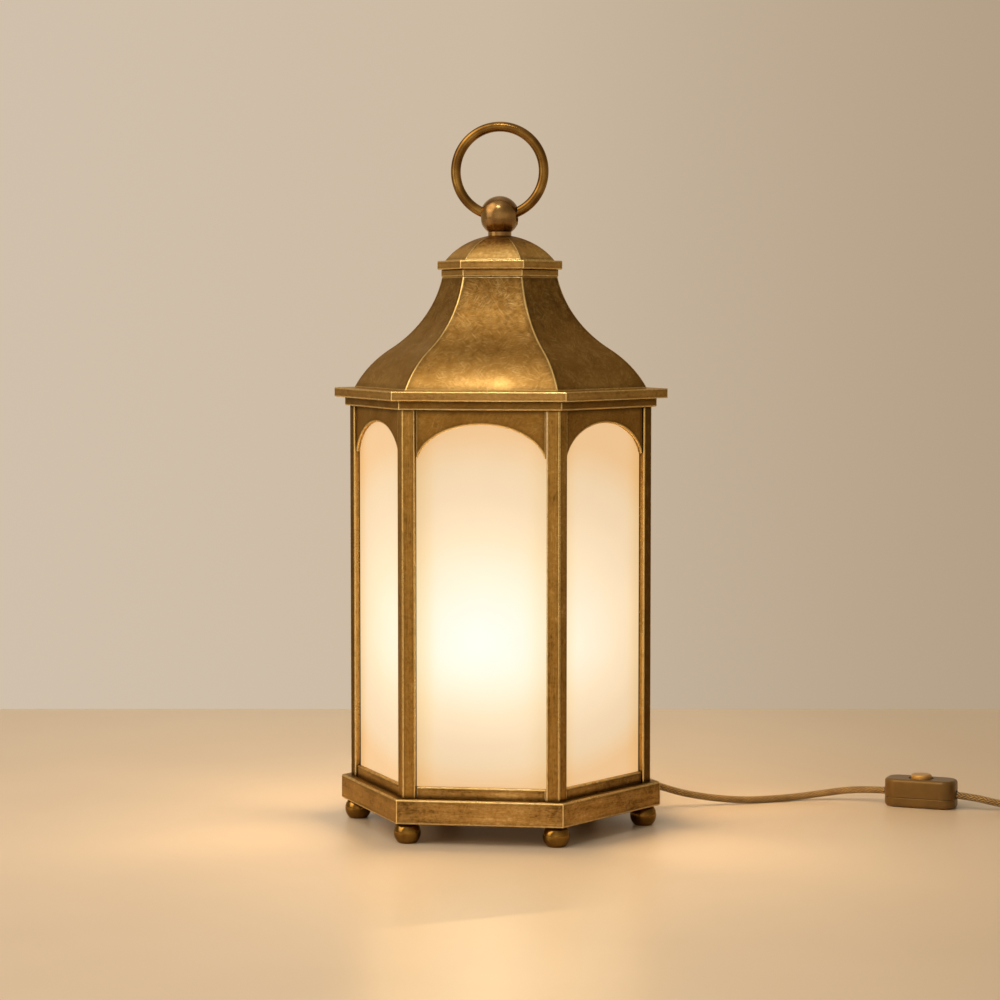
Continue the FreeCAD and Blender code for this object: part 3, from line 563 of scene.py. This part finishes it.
def opal():
    """Satin white glass. Its glow is painted, warmer and weaker at a pane's upright edges."""
    made, n, shader = material("opal_glass")
    place = n.place()
    x, y, z = n.xyz(place)
    across, ahead = n.dot(place, RIGHT), n.dot(place, AHEAD)
    sector = n.math("FLOORED_MODULO", n.math("ARCTAN2", y, x), SIXTH)
    slope = n.math("TANGENT", n.math("SUBTRACT", sector, SIXTH / 2))
    off_middle = n.math("ABSOLUTE", n.math("MULTIPLY", slope, PANE_OUT))

    on_side_pane = n.between(n.math("ABSOLUTE", across), *SIDE_PANES)
    edge = n.mix(on_side_pane, rgb(1.0, 0.965, 0.86), rgb(1.0, 0.92, 0.74))
    warm = n.mix(n.between(off_middle, *PANE_WARMS), WHITE, edge)
    glow = n.mix(1.0, painted_glow(n, across, ahead, z), warm, "MULTIPLY")
    n.link(glow, shader.inputs["Emission Color"])

    fading = n.between(off_middle, *PANE_FADES, 1.0, 0.80)
    inside_frame = n.between(off_middle, *PANE_ENDS, 1.0, 0.02)
    cloud = n.between(n.noise(place, 14.0, 2.0), 0.3, 0.7, 0.985, 1.015)
    strength = n.math("MULTIPLY", inside_frame, cloud)
    strength = n.math("MULTIPLY", strength, n.math("MULTIPLY_ADD", fading, 0.25, 0.75))
    n.link(strength, shader.inputs["Emission Strength"])

    fine = n.noise(place, 1500.0, 2.0)
    n.link(n.between(fine, 0.3, 0.7, 0.30, 0.38), shader.inputs["Roughness"])
    n.link(n.add("Bump", {"Strength": 0.05, "Distance": 0.0002, "Height": fine}), shader.inputs["Normal"])
    shader.inputs["Base Color"].default_value = rgb(0.07, 0.065, 0.06)
    shader.inputs["Specular IOR Level"].default_value = 0.35
    let_light_through(n, shader, rgb(1.0, 0.90, 0.72))
    return made


def frosted():
    """The bulb's glass, glowing more warmly towards its cap."""
    made, n, shader = material("bulb_glass")
    fine = n.noise(n.place(), 900.0, 3.0)
    high = n.between(n.xyz(n.place())[2], *BULB_HEIGHTS)
    glow = n.ramp(high, ((0.0, (0.95, 0.62, 0.28)), (1.0, (1.0, 0.86, 0.60))))
    n.link(glow, shader.inputs["Emission Color"])
    n.link(n.between(fine, 0.3, 0.7, 0.25, 0.4), shader.inputs["Roughness"])
    shader.inputs["Base Color"].default_value = rgb(0.85, 0.80, 0.70)
    shader.inputs["Emission Strength"].default_value = 2.2
    made.cycles.emission_sampling = "NONE"
    let_light_through(n, shader, WHITE)
    return made


BRAID_PITCH = 0.62       # one crossing of the braid, in cord diameters
BRAID_STRANDS = 8.0      # crossings round the cord


def braid():
    """A fine plaited sleeve: U counts crossings along the cord, and V is the way round it."""
    made, n, shader = material("braid")
    u, v = n.xyz(n.add("TexCoord", out=2))[:2]
    around = n.math("MULTIPLY", v, BRAID_STRANDS)
    lays = (n.math("ADD", u, around), n.math("SUBTRACT", u, around))
    strands = [n.math("ABSOLUTE", n.math("SINE", n.math("MULTIPLY", lay, math.pi))) for lay in lays]
    checks = [n.math("SINE", n.math("MULTIPLY", lay, math.pi / 2)) for lay in lays]
    over = n.between(n.math("MULTIPLY", *checks), -0.15, 0.15)
    height = n.add("Mix", {0: over, 2: strands[0], 3: strands[1]}, data_type="FLOAT")
    # Painted shade in the gaps between strands and a painted highlight on their crowns.
    tint = n.ramp(height, (
        (0.0, (0.012, 0.006, 0.002)), (0.45, (0.100, 0.050, 0.013)), (1.0, (0.53, 0.34, 0.11)),
    ))
    drift = n.noise(n.place(), 120.0, 3.0)
    handled = n.mix(n.between(drift, 0.35, 0.65), WHITE, rgb(0.72, 0.68, 0.62))
    n.link(n.mix(1.0, tint, handled, "MULTIPLY"), shader.inputs["Base Color"])
    n.link(n.add("Bump", {"Strength": 1.0, "Distance": 0.0005, "Height": height}), shader.inputs["Normal"])
    shader.inputs["Roughness"].default_value = 0.48
    shader.inputs["Sheen Weight"].default_value = 0.12
    shader.inputs["Sheen Roughness"].default_value = 0.4
    return made


OPAL = opal()
FROSTED = frosted()
BRAID = braid()

FINISHES = {
    ROOF_BRASS: ["roof_shell"],
    DOME_BRASS: ["dome_cap"],
    PLATE_BRASS: ["eave_plate", "collar", "cap_plate"],
    BASE_BRASS: ["base_tray", "bottom_rails"],
    POST_BRASS: ["post_%d" % k for k in SIX],
    # The top ring takes the darker arch brass: painted shade in the cove under the eave.
    ARCH_BRASS: ["top_ring"] + ["spandrel_%d" % k for k in SIX],
    BALL_BRASS: ["finial_ball", "nipple", "holder_stem"],
    RING_BRASS: ["carry_ring"],
    SHADED_FOOT_BRASS: ["foot_%d" % k for k in SIX],
    SHEET_BRASS: ["lower_pane_stop", "upper_pane_stop", "bottom_cover", "holder_base", "holder_shell"],
    STEEL: ["finial_stud", "finial_nut", "nipple_nuts"],
    PORCELAIN: ["holder_insert"],
    CAP_METAL: ["bulb_cap"],
    FROSTED: ["bulb_glass"],
    OPAL: ["pane_%d" % k for k in SIX],
    DARK_PLASTIC: ["cord_bushing", "switch_works"],
    SLEEVE: ["inner_lead"],
    STRAP: ["coil_tie"],
    BRONZE_PLASTIC: ["switch_lower", "switch_upper"],
    GOLD_PLASTIC: ["push_button"],
    PLUG_PLASTIC: ["plug_body"],
    PIN_METAL: ["plug_pins"],
    BRAID: ["lamp_cord", "mains_cord", "plug_cord", "cord_coil"],
}
for finish, names in FINISHES.items():
    for name in names:
        data = bpy.data.objects[name].data
        data.materials.clear()
        data.materials.append(finish)


# ---- cords ----
CORD_SIDES = 20


def smooth_line(points, steps):
    """Points read from a NURBS curve with these control points."""
    data = bpy.data.curves.new("line", "CURVE")
    data.dimensions = "3D"
    line = data.splines.new("NURBS")
    line.points.add(len(points) - 1)
    for point, place in zip(line.points, points):
        point.co = (*place, 1.0)
    line.order_u = 3
    line.use_endpoint_u = True
    line.resolution_u = steps
    made = bpy.data.objects.new("line", data)
    mesh = bpy.data.meshes.new_from_object(made)
    path = [v.co.copy() for v in mesh.vertices]
    bpy.data.objects.remove(made)
    bpy.data.meshes.remove(mesh)
    return path


def round_section(work, place, side, up, diameter):
    """One ring of the cord's vertices."""
    ring = []
    for k in range(CORD_SIDES):
        turn = 2 * math.pi * k / CORD_SIDES
        ring.append(work.verts.new(place + (side * math.cos(turn) + up * math.sin(turn)) * diameter / 2))
    return ring


def cord_tube(name, path, diameter):
    """A tube round the path with level rings, whose UVs count braid crossings along it."""
    mesh = bpy.data.meshes.new(name)
    work = bmesh.new()
    uv_layer = work.loops.layers.uv.new("UVMap")
    heads = [(b - a).normalized() for a, b in zip(path, path[1:])]
    heads = [heads[0]] + [(a + b).normalized() for a, b in zip(heads, heads[1:])] + [heads[-1]]
    side = heads[0].orthogonal().normalized()
    rings, crossings, run = [], [], 0.0
    for index, (place, head) in enumerate(zip(path, heads)):
        side = (side - head * side.dot(head)).normalized()
        rings.append(round_section(work, place, side, head.cross(side), diameter))
        run += (place - path[index - 1]).length if index else 0.0
        crossings.append(run / (diameter * BRAID_PITCH))
    for index, (near, far) in enumerate(zip(rings, rings[1:])):
        start, end = crossings[index], crossings[index + 1]
        for k in range(CORD_SIDES):
            after = (k + 1) % CORD_SIDES
            face = work.faces.new((near[k], near[after], far[after], far[k]))
            face.smooth = True
            low, high = k / CORD_SIDES, (k + 1) / CORD_SIDES
            for loop, uv in zip(face.loops, ((start, low), (start, high), (end, high), (end, low))):
                loop[uv_layer].uv = uv
    work.faces.new(rings[0][::-1])
    work.faces.new(rings[-1])
    work.to_mesh(mesh)
    work.free()
    mesh.materials.append(BRAID)
    return add_to_scene(name, mesh)


def in_metres(points):
    return [Vector(p) * MM for p in points]


COIL_MIDDLE = Vector((478.1, 75.8, 0.0)) * MM
COIL_START = 112.0       # degrees from +X, where the cord comes in
POINTS_PER_TURN = 18
COIL_KEYS = (            # turns so far, radius and height in millimetres
    (0.0, 40.4, 3.8), (0.75, 40.0, 3.8), (1.0, 37.0, 3.8), (1.25, 34.0, 3.8), (1.75, 34.0, 3.8),
    (2.0, 31.0, 3.9), (2.25, 28.2, 4.2), (2.9, 28.2, 5.2), (3.15, 29.5, 8.6), (3.4, 31.2, 9.3),
    (3.9, 31.4, 9.3), (4.15, 34.2, 9.3), (4.4, 37.2, 9.4), (4.9, 37.2, 10.6), (5.15, 36.0, 13.8),
    (5.4, 34.6, 14.3), (5.75, 34.6, 14.3), (6.05, 38.2, 14.2), (6.30, 41.6, 13.7),
)


def coil_points():
    """The put-away turns, wound inward, up, outward and inward again, clockwise from above."""
    points = []
    for step in range(1, int(COIL_KEYS[-1][0] * POINTS_PER_TURN) + 1):
        turns = step / POINTS_PER_TURN
        for (t0, r0, z0), (t1, r1, z1) in zip(COIL_KEYS, COIL_KEYS[1:]):
            if t0 <= turns <= t1:
                blend = (turns - t0) / (t1 - t0)
                radius, height = r0 + (r1 - r0) * blend, z0 + (z1 - z0) * blend
        angle = math.radians(COIL_START - 360.0 * turns)
        spot = Vector((radius * math.cos(angle), radius * math.sin(angle), height))
        points.append(COIL_MIDDLE + spot * MM)
    return points


LAMP_ROUTE = in_metres([
    (106.88, 61.71, 24.7), (116.9, 67.5, 24.7), (129.1, 76.2, 19.3), (145.4, 86.1, 12.8),
    (163.4, 94.7, 8.3), (182.5, 102.9, 5.0), (202.5, 111.3, 3.2), (223.3, 121.3, 3.0),
    (243.9, 132.7, 3.3), (265.0, 140.7, 5.4), (285.4, 139.6, 9.0), (306.2, 131.5, 11.6),
    (329.38, 125.66, 12.0),
])
MAINS_ROUTE = in_metres([
    (374.02, 114.54, 12.0), (396.7, 108.9, 10.6), (413.1, 107.1, 7.0), (430.1, 108.5, 4.0),
    (445.3, 111.3, 3.8),
])
TAIL_ROUTE = in_metres([(519.8, 69.5, 12.8), (522.2, 56.2, 9.6), (524.6, 41.4, 7.0), (526.7, 26.6, 7.0)])

lamp_path = smooth_line(LAMP_ROUTE, 12)
mains_path = smooth_line(MAINS_ROUTE + coil_points() + TAIL_ROUTE, 6)
lamp_lead = cord_tube("lamp_lead", lamp_path, CORD)
mains_lead = cord_tube("mains_lead", mains_path, CORD)
for lead, nodes in ((lamp_lead, ["lamp_cord"]), (mains_lead, ["mains_cord", "plug_cord", "cord_coil"])):
    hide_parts(*nodes)
    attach(lead, BODY)


# ---- carrying ring and cord grommets ----
def make_ring_tree():
    """A bar of round wire bent to a circle, flat on XY."""
    tree = bpy.data.node_groups.new("round_ring", "GeometryNodeTree")
    face = tree.interface
    face.new_socket("Ring", in_out="OUTPUT", socket_type="NodeSocketGeometry")
    for name, kind in (
        ("Radius", "Float"), ("Wire", "Float"), ("Steps", "Int"), ("Sides", "Int"), ("Finish", "Material"),
    ):
        face.new_socket(name, in_out="INPUT", socket_type="NodeSocket" + kind)
    given = tree.nodes.new("NodeGroupInput").outputs

    def add(kind, **joins):
        node = tree.nodes.new(kind)
        for name, value in joins.items():
            tree.links.new(value, node.inputs[name.replace("_", " ")])
        return node.outputs[0]

    bend = add("GeometryNodeCurvePrimitiveCircle", Resolution=given["Steps"], Radius=given["Radius"])
    bar = add("GeometryNodeCurvePrimitiveCircle", Resolution=given["Sides"], Radius=given["Wire"])
    ring = add("GeometryNodeCurveToMesh", Curve=bend, Profile_Curve=bar)
    ring = add("GeometryNodeSetShadeSmooth", Geometry=ring)
    ring = add("GeometryNodeRealizeInstances", Geometry=ring)
    ring = add("GeometryNodeSetMaterial", Geometry=ring, Material=given["Finish"])
    tree.links.new(ring, tree.nodes.new("NodeGroupOutput").inputs[0])
    return tree


RING_TREE = make_ring_tree()


def round_ring(name, place, radius, wire, finish, steps=160, sides=32):
    """A ring from RING_TREE as a plain mesh, set in its place by the matrix `place`."""
    values = {"Radius": radius, "Wire": wire, "Steps": steps, "Sides": sides, "Finish": finish}
    made = add_to_scene(name, bpy.data.meshes.new(name))
    bending = made.modifiers.new("bending", "NODES")
    bending.node_group = RING_TREE
    for socket in RING_TREE.interface.items_tree:
        if socket.in_out == "INPUT":
            bending[socket.identifier] = values[socket.name]
    mesh = bpy.data.meshes.new_from_object(made.evaluated_get(bpy.context.evaluated_depsgraph_get()))
    made.modifiers.clear()
    work = bmesh.new()
    work.from_mesh(mesh)
    bmesh.ops.recalc_face_normals(work, faces=work.faces)
    work.to_mesh(mesh)
    work.free()
    mesh.transform(place)
    made.data = mesh
    return made


SWITCH_MIDDLE = Vector((351.7, 120.1, 12.0)) * MM
SWITCH_TURN = math.radians(-14.0)
SWITCH_HALF = 31.0 * MM
GROMMET_RADIUS = 3.3 * MM
GROMMET_WIRE = 0.7 * MM
RING_HEIGHT = 543.25 * MM
RING_RADIUS = 36.75 * MM
RING_WIRE = 4.1 * MM


def cord_grommet(name, along):
    """The soft lip where a cord goes into the switch, `along` from its middle."""
    turn = Matrix.Rotation(SWITCH_TURN, 4, "Z")
    spot = SWITCH_MIDDLE + turn.to_3x3() @ Vector((along, 0.0, 0.0))
    place = Matrix.Translation(spot) @ turn @ Matrix.Rotation(math.pi / 2, 4, "Y")
    grommet = round_ring(name, place, GROMMET_RADIUS, GROMMET_WIRE, DARK_PLASTIC, 48, 16)
    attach(grommet, BODY)


cord_grommet("grommet_in", -SWITCH_HALF)
cord_grommet("grommet_out", SWITCH_HALF)
upright = Matrix.Translation((0.0, 0.0, RING_HEIGHT)) @ Matrix.Rotation(math.pi / 2, 4, "X")
ring = round_ring("swing_ring", upright, RING_RADIUS, RING_WIRE, RING_BRASS)
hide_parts("carry_ring")
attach(ring, "carry_ring")


# ---- table, light and surroundings ----
TABLE_NEAR, TABLE_FAR, TABLE_HALF = -1.6, 0.664, 1.9
WINDOW_AIM = from_view(-0.72, -0.26, 0.64)
WINDOW_LIGHT = 5.5
BULB_HEIGHT = 0.155


def stage_floor():
    """A pale table top, a little browner to the right of the lamp."""
    made, n, shader = material("table_top")
    place = n.place()
    soft = n.between(n.noise(place, 3.0, 3.0), 0.3, 0.7)
    pale = n.mix(soft, rgb(0.635, 0.545, 0.462), rgb(0.595, 0.51, 0.432))
    to_right = n.between(n.dot(place, RIGHT), 0.12, 0.50)
    n.link(n.mix(to_right, pale, rgb(0.50, 0.425, 0.36)), shader.inputs["Base Color"])
    shader.inputs["Roughness"].default_value = 0.34
    corners = [
        from_view(-TABLE_HALF, TABLE_NEAR), from_view(TABLE_HALF, TABLE_NEAR),
        from_view(TABLE_HALF, TABLE_FAR), from_view(-TABLE_HALF, TABLE_FAR),
    ]
    mesh = bpy.data.meshes.new("table_top")
    mesh.from_pydata(corners, [], [(0, 1, 2, 3)])
    mesh.materials.append(made)
    add_to_scene("table_top", mesh)


def make_world():
    """A wall behind the lamp, paler to its left, and a warm room, brightest on the camera's side."""
    world = bpy.data.worlds.new("room")
    bpy.context.scene.world = world
    world.use_nodes = True
    world.node_tree.nodes.clear()
    n = Nodes(world.node_tree)
    way = n.add("TexCoord", out=0)
    across, ahead = n.dot(way, RIGHT), n.dot(way, AHEAD)
    rise = n.xyz(way)[2]
    wall = n.ramp(n.between(across, -0.26, 0.26), (
        (0.0, (0.640, 0.530, 0.412)), (0.5, (0.610, 0.490, 0.365)), (1.0, (0.430, 0.330, 0.220)),
    ))
    room = n.ramp(n.between(across, -1.0, 1.0), (
        (0.0, (0.46, 0.35, 0.205)), (0.20, (0.66, 0.53, 0.35)), (0.45, (0.82, 0.69, 0.50)),
        (0.75, (0.56, 0.44, 0.28)), (1.0, (0.47, 0.36, 0.215)),
    ))
    camera_side = n.between(ahead, -1.0, -0.2, 1.45, 0.95)
    light = n.math("MULTIPLY", camera_side, n.between(rise, 0.12, 0.45, 1.0, 0.68))
    light = n.math("ADD", light, n.between(rise, 0.72, 0.92, 0.0, 0.42))
    window = n.between(n.dot(way, WINDOW_AIM), 0.86, 0.97)
    light = n.math("MULTIPLY_ADD", window, WINDOW_LIGHT, light)
    room = n.mix(1.0, room, n.grey(light), "MULTIPLY")
    seen = n.mix(n.between(ahead, 0.80, 0.92), room, wall)
    n.add("OutputWorld", {0: n.add("Background", {0: seen, 1: 1.0})}, out=None)


def soft_light(name, place, aim, size, power, colour):
    data = bpy.data.lights.new(name, "AREA")
    data.shape = "RECTANGLE"
    data.size, data.size_y = size
    data.energy = power
    data.color = colour
    made = add_to_scene(name, data)
    made.location = place
    made.rotation_euler = (aim - place).to_track_quat("-Z", "Y").to_euler()


def bulb_light():
    """The light that the lamp throws on the table."""
    data = bpy.data.lights.new("bulb_glow", "POINT")
    data.energy = 7.0
    data.color = (1.0, 0.78, 0.52)
    data.shadow_soft_size = 0.075
    add_to_scene("bulb_glow", data).location = (0.0, 0.0, BULB_HEIGHT)


stage_floor()
make_world()
soft_light("key", from_view(-0.25, -1.15, 2.1), Vector((0, 0, 0.38)), (0.50, 0.26), 6.5, (1.0, 0.93, 0.82))
soft_light("fill", from_view(-1.8, -0.9, 0.9), Vector((0, 0, 0.3)), (1.2, 1.4), 7.0, (1.0, 0.89, 0.72))
bulb_light()
